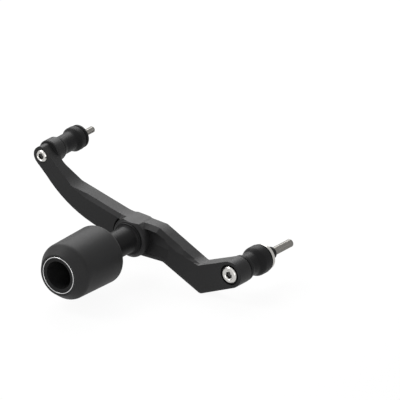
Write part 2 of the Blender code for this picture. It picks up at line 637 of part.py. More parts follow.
def model_bobbin(nylon, metal, steel, parts, cutters):
    """Bobbin moulded on its core, the ring let into its nose and the screw deep in its bore."""
    nose_seat = NOSE_Y + NOSE_RING_THICKNESS + JOINT_GAP
    core_fit = CORE_RADIUS + JOINT_GAP
    outer = rounded([
        (NOSE_Y, BOBBIN_NOSE_RADIUS - BOBBIN_NOSE_ROUND, 0),
        (NOSE_Y, BOBBIN_NOSE_RADIUS, BOBBIN_NOSE_ROUND),
        (NOSE_Y + BOBBIN_CONE_LENGTH, BOBBIN_SHOULDER_RADIUS, BOBBIN_SHOULDER_ROUND),
        (BOBBIN_REAR_Y, BOBBIN_REAR_RADIUS, BOBBIN_REAR_ROUND),
        (BOBBIN_REAR_Y, BOBBIN_RECESS_RADIUS, 0),
    ], closed=False)[1:]
    bore = [
        (NOSE_Y, NOSE_RING_RADIUS + JOINT_GAP), (nose_seat, NOSE_RING_RADIUS + JOINT_GAP),
        (nose_seat, core_fit), (BOBBIN_REAR_Y - BOBBIN_REAR_RECESS, core_fit),
        (BOBBIN_REAR_Y - BOBBIN_REAR_RECESS, BOBBIN_RECESS_RADIUS),
    ]
    turn("bobbin", outer, bore, SPINDLE_AT, nylon, parts, steps=56)
    edge = TURNED_EDGE / 2
    turn("nose_ring", [
        (NOSE_Y, NOSE_RING_RADIUS - edge), (NOSE_Y + edge, NOSE_RING_RADIUS),
        (NOSE_Y + NOSE_RING_THICKNESS, NOSE_RING_RADIUS),
    ], [
        (NOSE_Y, CORE_BORE_RADIUS + edge), (NOSE_Y + edge, CORE_BORE_RADIUS),
        (NOSE_Y + NOSE_RING_THICKNESS, CORE_BORE_RADIUS),
    ], SPINDLE_AT, metal, parts, steps=48)
    socket = SPINDLE_RADIUS + JOINT_GAP
    bolt_hole = SPINDLE_BOLT_RADIUS + HOLE_CLEARANCE
    turn("bobbin_core", [
        (CORE_FRONT_Y, CORE_RADIUS), (CORE_REAR_Y - TURNED_EDGE, CORE_RADIUS),
        (CORE_REAR_Y, CORE_RADIUS - TURNED_EDGE),
    ], [
        (CORE_FRONT_Y, CORE_BORE_RADIUS), (WEB_FRONT_Y, CORE_BORE_RADIUS), (WEB_FRONT_Y, bolt_hole),
        (WEB_REAR_Y, bolt_hole), (WEB_REAR_Y, socket), (CORE_REAR_Y, socket),
    ], SPINDLE_AT, metal, parts, steps=48)
    washer_y = WEB_FRONT_Y - JOINT_GAP - SCREW_WASHER_THICKNESS
    rings = washer_rings(washer_y, SCREW_WASHER_THICKNESS, SCREW_WASHER_RADIUS, bolt_hole)
    turn("bobbin_bolt_washer", *rings, SPINDLE_AT, steel, parts, steps=28)
    head_y = washer_y - JOINT_GAP
    head_top = head_y - CAP_HEAD_HEIGHT
    tip = head_y + BOBBIN_BOLT_LENGTH
    screw = turn("bobbin_bolt", [
        (head_top, CAP_HEAD_RADIUS - TURNED_EDGE), (head_top + TURNED_EDGE, CAP_HEAD_RADIUS),
        (head_y, CAP_HEAD_RADIUS), (head_y, SPINDLE_BOLT_RADIUS), (tip - TURNED_EDGE, SPINDLE_BOLT_RADIUS),
        (tip, SPINDLE_BOLT_RADIUS - TURNED_EDGE),
    ], [], SPINDLE_AT, steel, parts, steps=24)
    key_socket(screw, SPINDLE_AT, head_top, CAP_HEAD_HEIGHT / 2, CAP_KEY_RADIUS, cutters)


def model_upper_stack(metal, rubber, steel, parts, cutters):
    """Upper frame bolt with its flared spacer, ring and washer."""
    bore = UPPER_STUD_RADIUS + HOLE_CLEARANCE
    head_top = -UPPER_HEAD_PROUD
    head_y = head_top + UPPER_HEAD_HEIGHT
    tip = UPPER_SEAT_Y + UPPER_STUD_REACH
    bolt = turn("upper_bolt", [
        (head_top, UPPER_HEAD_RADIUS - TURNED_EDGE), (head_top + TURNED_EDGE, UPPER_HEAD_RADIUS),
        (head_y, UPPER_HEAD_RADIUS), (head_y, UPPER_STUD_RADIUS), (tip - TURNED_EDGE, UPPER_STUD_RADIUS),
        (tip, UPPER_STUD_RADIUS - TURNED_EDGE),
    ], [], UPPER_BOLT_AT, steel, parts, steps=24)
    key_socket(bolt, UPPER_BOLT_AT, head_top, UPPER_KEY_DEPTH, UPPER_KEY_RADIUS, cutters)
    end = UPPER_SPACER_Y + UPPER_SPACER_LENGTH
    flare = end - UPPER_FLARE_LENGTH
    turn("upper_spacer", rounded([
        (UPPER_SPACER_Y, UPPER_SPACER_FOOT, 0),
        (UPPER_SPACER_Y + UPPER_FOOT_LENGTH, UPPER_SPACER_WAIST, UPPER_WAIST_ROUND),
        (flare, UPPER_SPACER_WAIST, UPPER_WAIST_ROUND),
        (flare + UPPER_FLARE_RISE, UPPER_SPACER_FLARE, UPPER_FLARE_ROUND),
        (end, UPPER_SPACER_FLARE, UPPER_RIM_ROUND),
        (end, UPPER_SPACER_WAIST, 0),
    ], closed=False), [(UPPER_SPACER_Y, bore), (end, bore)], UPPER_BOLT_AT, metal, parts)
    ring = washer_rings(UPPER_RING_Y, UPPER_RING_THICKNESS, UPPER_RING_RADIUS, bore)
    turn("upper_spacer_ring", *ring, UPPER_BOLT_AT, rubber, parts)
    washer = washer_rings(UPPER_WASHER_Y, UPPER_WASHER_THICKNESS, UPPER_WASHER_RADIUS, bore)
    turn("upper_end_washer", *washer, UPPER_BOLT_AT, metal, parts)


def model_lower_stack(metal, rubber, bright, steel, parts, cutters):
    """Lower frame bolt with its bulb spacer, ring, washer and the collar that keeps it together."""
    bore = LOWER_STUD_RADIUS + HOLE_CLEARANCE
    head_top = -LOWER_HEAD_PROUD
    head_y = head_top + LOWER_HEAD_HEIGHT
    tip = LOWER_SEAT_Y + LOWER_STUD_REACH
    bolt = turn("lower_bolt", [
        (head_top, LOWER_HEAD_RADIUS - TURNED_EDGE), (head_top + TURNED_EDGE, LOWER_HEAD_RADIUS),
        (head_y, LOWER_HEAD_RADIUS), (head_y, LOWER_STUD_RADIUS), (tip - TURNED_EDGE, LOWER_STUD_RADIUS),
        (tip, LOWER_STUD_RADIUS - TURNED_EDGE),
    ], [], LOWER_BOLT_AT, bright, parts)
    key_socket(bolt, LOWER_BOLT_AT, head_top, LOWER_KEY_DEPTH, LOWER_KEY_RADIUS, cutters)
    end = LOWER_SPACER_Y + LOWER_SPACER_LENGTH
    bulb = end - LOWER_BULB_LENGTH
    foot = LOWER_SPACER_Y + LOWER_FOOT_LENGTH
    turn("lower_spacer", rounded([
        (LOWER_SPACER_Y, LOWER_SPACER_FOOT - TURNED_EDGE, 0),
        (LOWER_SPACER_Y + TURNED_EDGE, LOWER_SPACER_FOOT, TURNED_EDGE / 2),
        (foot, LOWER_SPACER_FOOT, TURNED_EDGE),
        (foot + LOWER_NECK_LENGTH, LOWER_SPACER_WAIST, LOWER_WAIST_ROUND),
        (bulb, LOWER_SPACER_WAIST, LOWER_WAIST_ROUND),
        (bulb + LOWER_BULB_RISE, LOWER_SPACER_BULB, LOWER_BULB_ROUND),
        (end, LOWER_SPACER_BULB, LOWER_RIM_ROUND),
        (end, LOWER_SPACER_WAIST, 0),
    ], closed=False), [(LOWER_SPACER_Y, bore), (end, bore)], LOWER_BOLT_AT, metal, parts)
    ring = washer_rings(LOWER_RING_Y, LOWER_RING_THICKNESS, LOWER_RING_RADIUS, bore)
    turn("lower_spacer_ring", *ring, LOWER_BOLT_AT, rubber, parts)
    washer = washer_rings(LOWER_WASHER_Y, LOWER_WASHER_THICKNESS, LOWER_WASHER_RADIUS, bore)
    turn("lower_end_washer", *washer, LOWER_BOLT_AT, steel, parts)
    collar = washer_rings(LOWER_SEAT_Y + JOINT_GAP, RETAINER_THICKNESS, RETAINER_RADIUS, bore)
    turn("bolt_retainer", *collar, LOWER_BOLT_AT, rubber, parts, steps=24)


def build():
    clear_scene()
    parts = new_collection("crash_protector")
    cutters = new_collection("cutters")
    datum = bpy.data.objects.new("arm_datum", None)
    parts.objects.link(datum)
    datum.location = (-LOWER_BOLT_AT.x, -LOWER_SEAT_Y, -LOWER_BOLT_AT.y)
    anodised = new_material("anodised_black", (0.030, 0.030, 0.031), 0.42, 0.4)
    nylon = new_material("nylon_black", (0.026, 0.026, 0.026), 0.55, 0.0)
    rubber = new_material("rubber_black", (0.016, 0.016, 0.016), 0.7, 0.0)
    bright = new_material("bright_steel", (0.72, 0.72, 0.72), 0.22, 1.0)
    steel = new_material("plain_steel", (0.42, 0.41, 0.40), 0.35, 1.0)
    arm = model_bar(anodised, parts, cutters)
    add_bosses(arm, cutters)
    cut_recesses(arm, cutters)
    model_spindle(anodised, bright, parts, cutters)
    model_bobbin(nylon, anodised, bright, parts, cutters)
    model_upper_stack(anodised, rubber, bright, parts, cutters)
    model_lower_stack(anodised, rubber, bright, steel, parts, cutters)


build()
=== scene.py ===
"""Looks of the motorcycle crash protector: turned pieces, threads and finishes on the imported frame."""
import math

import bpy
from mathutils import Matrix, Vector


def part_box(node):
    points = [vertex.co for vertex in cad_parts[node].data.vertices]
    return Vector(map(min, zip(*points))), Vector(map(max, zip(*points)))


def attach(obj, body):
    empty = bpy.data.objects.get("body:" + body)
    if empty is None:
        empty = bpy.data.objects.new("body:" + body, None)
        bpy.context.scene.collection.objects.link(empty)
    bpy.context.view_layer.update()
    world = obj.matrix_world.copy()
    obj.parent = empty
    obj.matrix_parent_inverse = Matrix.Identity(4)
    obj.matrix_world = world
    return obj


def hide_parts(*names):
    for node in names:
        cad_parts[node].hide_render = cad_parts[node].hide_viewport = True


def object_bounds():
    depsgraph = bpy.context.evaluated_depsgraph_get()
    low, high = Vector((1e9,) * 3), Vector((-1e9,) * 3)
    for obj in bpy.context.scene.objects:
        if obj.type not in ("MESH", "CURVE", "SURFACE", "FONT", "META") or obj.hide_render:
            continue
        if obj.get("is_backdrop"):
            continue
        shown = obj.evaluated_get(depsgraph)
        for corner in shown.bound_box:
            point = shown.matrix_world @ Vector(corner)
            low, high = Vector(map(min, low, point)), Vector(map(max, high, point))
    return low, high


bl_info = {
    "name": "Crash Protector Looks",
    "version": (1, 0, 0),
    "blender": (4, 5, 0),
    "location": "View3D > Sidebar > Protector",
    "description": "Models the turned pieces, the screws and the finishes of a motorcycle crash protector",
    "category": "Object",
}

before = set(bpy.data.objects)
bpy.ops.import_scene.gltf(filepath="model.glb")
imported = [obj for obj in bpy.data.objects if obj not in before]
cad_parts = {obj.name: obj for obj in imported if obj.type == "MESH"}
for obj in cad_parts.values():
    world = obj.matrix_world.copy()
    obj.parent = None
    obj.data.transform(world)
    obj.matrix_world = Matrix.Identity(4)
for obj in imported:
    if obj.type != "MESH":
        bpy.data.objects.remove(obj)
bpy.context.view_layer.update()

MM = 0.001
BODY = "root"
BOSS_HEIGHT = 6.0 * MM
# Room between pieces, and the distances at which places and vertices count as the same
GAP = 0.3 * MM
TOUCH = 0.01 * MM
DOUBLES = 0.002 * MM
# Share of a normal along Y, below which a face runs straight across the bar
ACROSS = 0.05
SCREW_STEPS = 60


def axis_of(node):
    """Where a turned node's axis crosses the plane of y = 0."""
    low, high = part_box(node)
    return Vector(((low[0] + high[0]) / 2, 0, (low[2] + high[2]) / 2))


SPINDLE_AXIS = axis_of("bobbin")
UPPER_AXIS = axis_of("upper_bolt")
LOWER_AXIS = axis_of("lower_bolt")


class CrashProtectorSizes(bpy.types.PropertyGroup):
    """Sizes that the frame's boxes don't give"""
    spin_steps: bpy.props.IntProperty(
        name="Spin Steps", description="Steps round each turned piece", default=128, min=24, max=256)
    edge_softness: bpy.props.FloatProperty(
        name="Edge Softness", description="Radius by which the arm's machined edges are broken",
        default=0.35 * MM, unit="LENGTH", subtype="DISTANCE")
    hole_clearance: bpy.props.FloatProperty(
        name="Hole Clearance", description="Room round a bolt in its hole",
        default=0.35 * MM, unit="LENGTH", subtype="DISTANCE")
    upper_pitch: bpy.props.FloatProperty(
        name="Upper Pitch", description="Pitch of the upper stud's thread",
        default=1.0 * MM, unit="LENGTH", subtype="DISTANCE")
    lower_pitch: bpy.props.FloatProperty(
        name="Lower Pitch", description="Pitch of the lower stud's and the screws' threads",
        default=1.25 * MM, unit="LENGTH", subtype="DISTANCE")
    camera_azimuth: bpy.props.FloatProperty(
        name="Camera Azimuth", description="Direction that the photograph was taken from",
        default=math.radians(37.5), subtype="ANGLE")
    camera_elevation: bpy.props.FloatProperty(
        name="Camera Elevation", description="Height angle that the photograph was taken from",
        default=math.radians(23.9), subtype="ANGLE")
    camera_width: bpy.props.FloatProperty(
        name="Camera Width", description="Width of the view, which has no perspective",
        default=400 * MM, unit="LENGTH", subtype="DISTANCE")


class CrashProtectorColours(bpy.types.PropertyGroup):
    """Colours of the finishes"""
    anodised: bpy.props.FloatVectorProperty(
        name="Anodised", description="Black anodised aluminium", subtype="COLOR", size=3,
        default=(0.011, 0.011, 0.0113), min=0, max=1)
    nylon: bpy.props.FloatVectorProperty(
        name="Nylon", description="Black machined nylon of the bobbin", subtype="COLOR", size=3,
        default=(0.014, 0.014, 0.0143), min=0, max=1)
    rubber: bpy.props.FloatVectorProperty(
        name="Rubber", description="Black rubber rings", subtype="COLOR", size=3,
        default=(0.008, 0.008, 0.008), min=0, max=1)
    bright: bpy.props.FloatVectorProperty(
        name="Bright Steel", description="Zinc plated screw heads", subtype="COLOR", size=3,
        default=(0.54, 0.53, 0.51), min=0, max=1)
    # Painted shade: the same steel as the heads, darkened for the shade in the thread's grooves.
    stud: bpy.props.FloatVectorProperty(
        name="Stud Steel", description="Duller steel of the threaded studs", subtype="COLOR", size=3,
        default=(0.17, 0.165, 0.155), min=0, max=1)
    plain: bpy.props.FloatVectorProperty(
        name="Plain Steel", description="Plain steel washer", subtype="COLOR", size=3,
        default=(0.42, 0.41, 0.39), min=0, max=1)
    bare: bpy.props.FloatVectorProperty(
        name="Bare Aluminium", description="Bright turned lip of the nose ring", subtype="COLOR", size=3,
        default=(0.62, 0.62, 0.62), min=0, max=1)
    floor: bpy.props.FloatVectorProperty(
        name="Floor", description="Pale studio floor", subtype="COLOR", size=3,
        default=(0.9, 0.9, 0.9), min=0, max=1)


# Node groups


def new_group(name, inputs, outputs):
    """Shader node group with named float inputs and outputs, and its two end nodes."""
    group = bpy.data.node_groups.new(name, "ShaderNodeTree")
    for label, default in inputs:
        socket = group.interface.new_socket(label, in_out="INPUT", socket_type="NodeSocketFloat")
        socket.default_value = default
    for label in outputs:
        group.interface.new_socket(label, in_out="OUTPUT", socket_type="NodeSocketFloat")
    return group, group.nodes.new("NodeGroupInput"), group.nodes.new("NodeGroupOutput")


def math_node(tree, operation, first, second=None, third=None):
    """Math node whose inputs are sockets or numbers. Returns its output."""
    node = tree.nodes.new("ShaderNodeMath")
    node.operation = operation
    for socket, value in zip(node.inputs, (first, second, third)):
        if value is None:
            continue
        if isinstance(value, (int, float)):
            socket.default_value = value
        else:
            tree.links.new(value, socket)
    return node.outputs[0]


def noise_node(tree, vector, scale, detail):
    """Noise texture over a vector, with its scale as a number or a socket. Returns its value."""
    node = tree.nodes.new("ShaderNodeTexNoise")
    node.inputs["Detail"].default_value = detail
    node.inputs["Roughness"].default_value = 0.55
    tree.links.new(vector, node.inputs["Vector"])
    if isinstance(scale, (int, float)):
        node.inputs["Scale"].default_value = scale
    else:
        tree.links.new(scale, node.inputs["Scale"])
    return node.outputs[0]


def object_place(tree):
    """Place on the piece, in its own coordinates, and its three parts by name."""
    place = tree.nodes.new("ShaderNodeTexCoord").outputs["Object"]
    parts = tree.nodes.new("ShaderNodeSeparateXYZ")
    tree.links.new(place, parts.inputs[0])
    return place, parts.outputs


def blasted_grain():
    """Fine even grain of a blasted and anodised or moulded surface, with broad clouds in its roughness."""
    group, given, result = new_group("blasted_grain", [
        ("Grain Scale", 2600.0), ("Cloud Scale", 45.0), ("Rough", 0.5), ("Rough Spread", 0.08),
    ], ["Height", "Roughness", "Shade"])
    speckle_rough, speckle_shade = 0.08, 0.35
    place, _ = object_place(group)
    fine = noise_node(group, place, given.outputs["Grain Scale"], 2.0)
    cloud = noise_node(group, place, given.outputs["Cloud Scale"], 5.0)
    centred = math_node(group, "SUBTRACT", cloud, 0.5)
    rough = math_node(group, "MULTIPLY_ADD", centred, given.outputs["Rough Spread"], given.outputs["Rough"])
    speckle = math_node(group, "SUBTRACT", fine, 0.5)
    rough = math_node(group, "MULTIPLY_ADD", speckle, speckle_rough, rough)
    shade = math_node(group, "MULTIPLY_ADD", speckle, speckle_shade, 1.0)
    group.links.new(fine, result.inputs["Height"])
    group.links.new(rough, result.inputs["Roughness"])
    group.links.new(shade, result.inputs["Shade"])
    return group


def turning_marks():
    """Fine rings that a lathe tool leaves round an axis along Y, and the distance from that axis."""
    group, given, result = new_group("turning_marks", [
        ("Axis X", 0.0), ("Axis Z", 0.0), ("Lines", 1400.0),
    ], ["Height", "Change", "Radius"])
    _, parts = object_place(group)
    across = math_node(group, "SUBTRACT", parts["X"], given.outputs["Axis X"])
    up = math_node(group, "SUBTRACT", parts["Z"], given.outputs["Axis Z"])
    square = math_node(group, "MULTIPLY_ADD", up, up, math_node(group, "MULTIPLY", across, across))
    radius = math_node(group, "SQRT", square)
    rings = group.nodes.new("ShaderNodeCombineXYZ")
    for label, distance in (("X", radius), ("Y", parts["Y"])):
        scaled = math_node(group, "MULTIPLY", distance, given.outputs["Lines"])
        group.links.new(scaled, rings.inputs[label])
    marks = noise_node(group, rings.outputs[0], 1.0, 2.0)
    group.links.new(marks, result.inputs["Height"])
    group.links.new(math_node(group, "SUBTRACT", marks, 0.5), result.inputs["Change"])
    group.links.new(radius, result.inputs["Radius"])
    return group


GROUPS = {}


def place_group(tree, maker, **values):
    """Places a shared node group in a material, with its own values."""
    if maker.__name__ not in GROUPS:
        GROUPS[maker.__name__] = maker()
    node = tree.nodes.new("ShaderNodeGroup")
    node.node_tree = GROUPS[maker.__name__]
    for label, value in values.items():
        node.inputs[label.replace("_", " ").title()].default_value = value
    return node


def new_material(name):
    """Material with its node tree and its shader."""
    material = bpy.data.materials.new(name)
    material.use_nodes = True
    return material, material.node_tree, material.node_tree.nodes["Principled BSDF"]


def shaded_colour(tree, shader, colour, shade):
    """Feeds a colour or a socket, made a little lighter or darker by a mask, to the shader."""
    mix = tree.nodes.new("ShaderNodeVectorMath")
    mix.operation = "SCALE"
    if isinstance(colour, bpy.types.NodeSocket):
        tree.links.new(colour, mix.inputs[0])
    else:
        mix.inputs[0].default_value = colour
    tree.links.new(shade, mix.inputs["Scale"])
    tree.links.new(mix.outputs[0], shader.inputs["Base Color"])


def mixed_colour(tree, mask, first, second):
    """Mixes two colours by a mask. The first is a colour or a socket."""
    mix = tree.nodes.new("ShaderNodeMix")
    mix.data_type = "RGBA"
    tree.links.new(mask, mix.inputs[0])
    if isinstance(first, bpy.types.NodeSocket):
        tree.links.new(first, mix.inputs[6])
    else:
        mix.inputs[6].default_value = (*first, 1)
    mix.inputs[7].default_value = (*second, 1)
    return mix.outputs[2]


def bump(tree, height, distance, strength, normal=None):
    """Bends a normal by a height. Returns the new normal."""
    node = tree.nodes.new("ShaderNodeBump")
    node.inputs["Distance"].default_value = distance
    node.inputs["Strength"].default_value = strength
    tree.links.new(height, node.inputs["Height"])
    if normal:
        tree.links.new(normal, node.inputs["Normal"])
    return node.outputs[0]


def finish_shader(tree, shader, colour, grain, rough, normal, specular):
    """Feeds a finish's colour, roughness, normal and share of reflection to the shader."""
    shaded_colour(tree, shader, colour, grain.outputs["Shade"])
    tree.links.new(rough, shader.inputs["Roughness"])
    tree.links.new(normal, shader.inputs["Normal"])
    shader.inputs["Specular IOR Level"].default_value = specular


def anodised_finish(name, axis=None, rounding=0.0):
    """Black anodised aluminium: blasted where it is milled, ringed where it is turned about an axis."""
    turned, ring_rough = axis is not None, 0.12
    roughness, specular = (0.42, 0.068) if turned else (0.47, 0.17)
    material, tree, shader = new_material(name)
    grain = place_group(tree, blasted_grain, rough=roughness, rough_spread=0.10)
    rough = grain.outputs["Roughness"]
    normal = None
    if rounding:
        soft = tree.nodes.new("ShaderNodeBevel")
        soft.samples = 6
        soft.inputs["Radius"].default_value = rounding
        normal = soft.outputs[0]
    normal = bump(tree, grain.outputs["Height"], distance=0.03 * MM, strength=0.35, normal=normal)
    if turned:
        marks = place_group(tree, turning_marks, axis_x=axis.x, axis_z=axis.z)
        normal = bump(tree, marks.outputs["Height"], distance=0.02 * MM, strength=0.5, normal=normal)
        rough = math_node(tree, "MULTIPLY_ADD", marks.outputs["Change"], ring_rough, rough)
    colour = bpy.context.scene.crash_protector_colours.anodised
    finish_shader(tree, shader, colour, grain, rough, normal, specular)
    return material


def lipped_finish(name, axis, inner, outer):
    """Anodised finish with a bare bright lip between two radii."""
    material = anodised_finish(name, axis)
    tree = material.node_tree
    shader = tree.nodes["Principled BSDF"]
    radius = place_group(tree, turning_marks, axis_x=axis.x, axis_z=axis.z).outputs["Radius"]
    lip = math_node(tree, "MULTIPLY", math_node(tree, "GREATER_THAN", radius, inner),
                    math_node(tree, "LESS_THAN", radius, outer))
    colour, rough = (shader.inputs[label].links[0].from_socket for label in ("Base Color", "Roughness"))
    bare = bpy.context.scene.crash_protector_colours.bare
    smoother = -0.2
    tree.links.new(mixed_colour(tree, lip, colour, bare), shader.inputs["Base Color"])
    tree.links.new(math_node(tree, "MULTIPLY_ADD", lip, smoother, rough), shader.inputs["Roughness"])
    tree.links.new(lip, shader.inputs["Metallic"])
    return material


def nylon_finish(name, axis):
    """Black nylon, turned and then blasted, duller than the metal."""
    material, tree, shader = new_material(name)
    grain = place_group(tree, blasted_grain, grain_scale=1700.0, rough=0.56, rough_spread=0.12)
    marks = place_group(tree, turning_marks, axis_x=axis.x, axis_z=axis.z, lines=900.0)
    normal = bump(tree, grain.outputs["Height"], distance=0.05 * MM, strength=0.5)
    normal = bump(tree, marks.outputs["Height"], distance=0.03 * MM, strength=0.35, normal=normal)
    colour = bpy.context.scene.crash_protector_colours.nylon
    finish_shader(tree, shader, colour, grain, grain.outputs["Roughness"], normal, specular=0.17)
    return material


def rubber_finish(name):
    """Matt black rubber with a soft uneven skin."""
    material, tree, shader = new_material(name)
    grain = place_group(tree, blasted_grain, grain_scale=1200.0, cloud_scale=120.0, rough=0.68,
                        rough_spread=0.15)
    normal = bump(tree, grain.outputs["Height"], distance=0.06 * MM, strength=0.5)
    colour = bpy.context.scene.crash_protector_colours.rubber
    finish_shader(tree, shader, colour, grain, grain.outputs["Roughness"], normal, specular=0.12)
    return material


def steel_finish(name, colour, roughness, axis, seat=None, socket=None):
    """Plated or plain steel with turning marks and faint clouds.

    Past the seat it is darker, as painted shade of the thread's grooves. The socket is given by the depth
    past which its walls get painted shade and by its radius."""
    material, tree, shader = new_material(name)
    grain = place_group(tree, blasted_grain, grain_scale=1900.0, cloud_scale=260.0, rough=roughness,
                        rough_spread=0.22)
    marks = place_group(tree, turning_marks, axis_x=axis.x, axis_z=axis.z, lines=2200.0)
    if seat is not None:
        colour = painted_stud_and_socket_shade(tree, marks.outputs["Radius"], colour, seat, *socket)
    normal = bump(tree, grain.outputs["Height"], distance=0.02 * MM, strength=0.25)
    normal = bump(tree, marks.outputs["Height"], distance=0.02 * MM, strength=0.5, normal=normal)
    ring_rough = 0.2
    rough = grain.outputs["Roughness"]
    rough = math_node(tree, "MULTIPLY_ADD", marks.outputs["Change"], ring_rough, rough)
    finish_shader(tree, shader, colour, grain, rough, normal, specular=0.5)
    shader.inputs["Metallic"].default_value = 1.0
    return material


def painted_stud_and_socket_shade(tree, radius, colour, seat, depth, key):
    """Colour of a frame bolt: bright, with painted shade on its socket walls and a darker stud past the
    seat, painted shade of its thread's grooves.
    """
    # Painted shade: the socket walls past the given depth are darkened to a small share of the head's
    # colour.
    core, margin, painted_shade = 0.3, 1.05, 0.12
    _, parts = object_place(tree)
    stud = bpy.context.scene.crash_protector_colours.stud
    painted_wall_shade = math_node(tree, "MULTIPLY", math_node(tree, "GREATER_THAN", parts["Y"], depth),
                     math_node(tree, "LESS_THAN", radius, key * margin))
    painted_wall_shade = math_node(tree, "MULTIPLY", painted_wall_shade, math_node(tree, "GREATER_THAN", radius, key * core))
    colour = mixed_colour(tree, painted_wall_shade, colour, [value * painted_shade for value in colour])
    # Painted shade: past the seat the stud takes the darker stud colour, which stands in for shade in the
    # thread's grooves.
    return mixed_colour(tree, math_node(tree, "GREATER_THAN", parts["Y"], seat), colour, stud)


# Modelling helpers


def deselect_all():
    """Goes back to object mode with nothing selected."""
    if bpy.context.object and bpy.context.object.mode != "OBJECT":
        bpy.ops.object.mode_set(mode="OBJECT")
    bpy.ops.object.select_all(action="DESELECT")


def select_only(piece):
    """Leaves one piece selected and active."""
    deselect_all()
    bpy.context.view_layer.objects.active = piece
    piece.select_set(True)


def pick_faces(piece, wanted):
    """Selects the faces of a piece for which a test holds, and goes to edit mode."""
    select_only(piece)
    bpy.ops.object.mode_set(mode="EDIT")
    bpy.ops.mesh.select_mode(type="FACE")
    bpy.ops.mesh.select_all(action="DESELECT")
    bpy.ops.object.mode_set(mode="OBJECT")
    for face in piece.data.polygons:
        face.select = wanted(face)
    bpy.ops.object.mode_set(mode="EDIT")


def rounded(corners, segments=6):
    """Profile points (y, radius) of corners given as (y, radius, rounding); the ends stay sharp."""
    points = []
    last = len(corners) - 1
    for index, (y, radius, rounding) in enumerate(corners):
        corner = Vector((y, radius))
        if rounding == 0 or index in (0, last):
            points.append(corner)
            continue
        before = (Vector(corners[index - 1][:2]) - corner).normalized()
        after = (Vector(corners[index + 1][:2]) - corner).normalized()
        half = before.angle(after) / 2
        centre = corner + (before + after).normalized() * rounding / math.sin(half)
        start = corner + before * rounding / math.tan(half) - centre
        end = corner + after * rounding / math.tan(half) - centre
        turn = start.angle_signed(end)
        for step in range(segments + 1):
            points.append(centre + Matrix.Rotation(-turn * step / segments, 2) @ start)
    return points


def spin_profile(name, corners, axis, segments=6, closed=True, steps=None):
    """Draws a profile vertex by vertex beside its axis, closes it and spins it into a solid."""
    points = rounded(corners, segments)
    if closed:
        points.append(points[0])
    first = points[0]
    deselect_all()
    bpy.ops.mesh.primitive_plane_add(size=MM, location=(axis.x + first.y, first.x, axis.z))
    piece = bpy.context.object
    piece.name = piece.data.name = name
    bpy.ops.object.mode_set(mode="EDIT")
    bpy.ops.mesh.select_mode(type="VERT")
    bpy.ops.mesh.merge(type="CENTER")
    for here, there in zip(points, points[1:]):
        bpy.ops.mesh.extrude_region_move(
            TRANSFORM_OT_translate={"value": (there.y - here.y, there.x - here.x, 0)})
    bpy.ops.mesh.select_all(action="SELECT")
    bpy.ops.mesh.spin(steps=steps or bpy.context.scene.crash_protector_sizes.spin_steps,
                      angle=math.tau, center=(axis.x, 0, axis.z), axis=(0, 1, 0))
    close_and_face_out()
    bpy.ops.object.mode_set(mode="OBJECT")
    bpy.ops.object.transform_apply(location=True, rotation=True, scale=True)
    return piece


def close_and_face_out():
    """Merges doubles and turns all normals outwards, in edit mode."""
    bpy.ops.mesh.select_all(action="SELECT")
    bpy.ops.mesh.remove_doubles(threshold=DOUBLES)
    bpy.ops.mesh.normals_make_consistent(inside=False)


def apply_modifier(piece, kind, **settings):
    """Adds a modifier to a piece, sets it and applies it."""
    modifier = piece.modifiers.new(kind.lower(), kind)
    for label, value in settings.items():
        setattr(modifier, label, value)
    select_only(piece)
    bpy.ops.object.modifier_apply(modifier=modifier.name)


def cut_key_socket(piece, axis, mouth, depth, radius, facing):
    """Cuts a hexagon socket with a coned bottom. Facing is -1 where the head looks outboard.

    It is turned a little, so that its corners lie between the spokes of the head's mesh."""
    turn, cone = math.pi / SCREW_STEPS, 0.4 * radius
    deselect_all()
    bpy.ops.mesh.primitive_cylinder_add(
        vertices=6, radius=radius, depth=2 * depth, location=(axis.x, mouth, axis.z),
        rotation=(math.pi / 2, turn, 0), end_fill_type="NGON")
    cutter = bpy.context.object
    bpy.ops.object.transform_apply(location=True, rotation=True, scale=True)
    bottom = mouth - facing * depth
    pick_faces(cutter, lambda face: abs(face.center.y - bottom) < TOUCH)
    bpy.ops.mesh.extrude_region_move(TRANSFORM_OT_translate={"value": (0, -facing * cone, 0)})
    bpy.ops.mesh.merge(type="CENTER")
    bpy.ops.object.mode_set(mode="OBJECT")
    apply_modifier(piece, "BOOLEAN", object=cutter, operation="DIFFERENCE", solver="EXACT")
    bpy.data.objects.remove(cutter, do_unlink=True)


def cut_thread(piece, axis, start, end, radius, pitch):
    """Moves the rings between two places along the axis into a helical thread that runs out at its ends."""
    depth, run_out = 0.45 * pitch, 1.5 * pitch
    for vertex in piece.data.vertices:
        across, up = vertex.co.x - axis.x, vertex.co.z - axis.z
        reach = math.hypot(across, up)
        if not start <= vertex.co.y <= end or abs(reach - radius) > TOUCH:
            continue
        phase = (vertex.co.y / pitch - math.atan2(up, across) / math.tau) % 1
        groove = 1 - abs(2 * phase - 1)
        fade = min(1, (vertex.co.y - start) / run_out, (end - vertex.co.y) / run_out)
        share = 1 - depth * groove * max(0, fade) / reach
        vertex.co.x = axis.x + across * share
        vertex.co.z = axis.z + up * share


def thread_rings(start, end, radius, pitch):
    """Corners along a shank, a fixed count to each turn of its thread."""
    rings_per_turn = 8
    count = math.ceil(abs(end - start) / pitch * rings_per_turn)
    return [(start + (end - start) * step / count, radius, 0) for step in range(count + 1)]


def finish_piece(piece, material, node, angle=30):
    """Smooths a piece, gives it its finish and lets it stand for its CAD node."""
    select_only(piece)
    bpy.ops.object.shade_smooth_by_angle(angle=math.radians(angle), keep_sharp_edges=False)
    piece.data.materials.clear()
    piece.data.materials.append(material)
    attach(piece, BODY)
    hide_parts(node)


def reach_of(node):
    """Ends of a node along Y and its largest radius."""
    low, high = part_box(node)
    return low[1], high[1], (high[0] - low[0]) / 2


def spin_disc(name, axis, low, high, hole, radius, edge, segments=5, steps=None):
    """Washer, ring or collar: a bored disc with rounded outer edges."""
    return spin_profile(name, [
        (low, hole, 0), (low, radius, edge), (high, radius, edge), (high, hole, 0),
    ], axis, segments=segments, steps=steps)


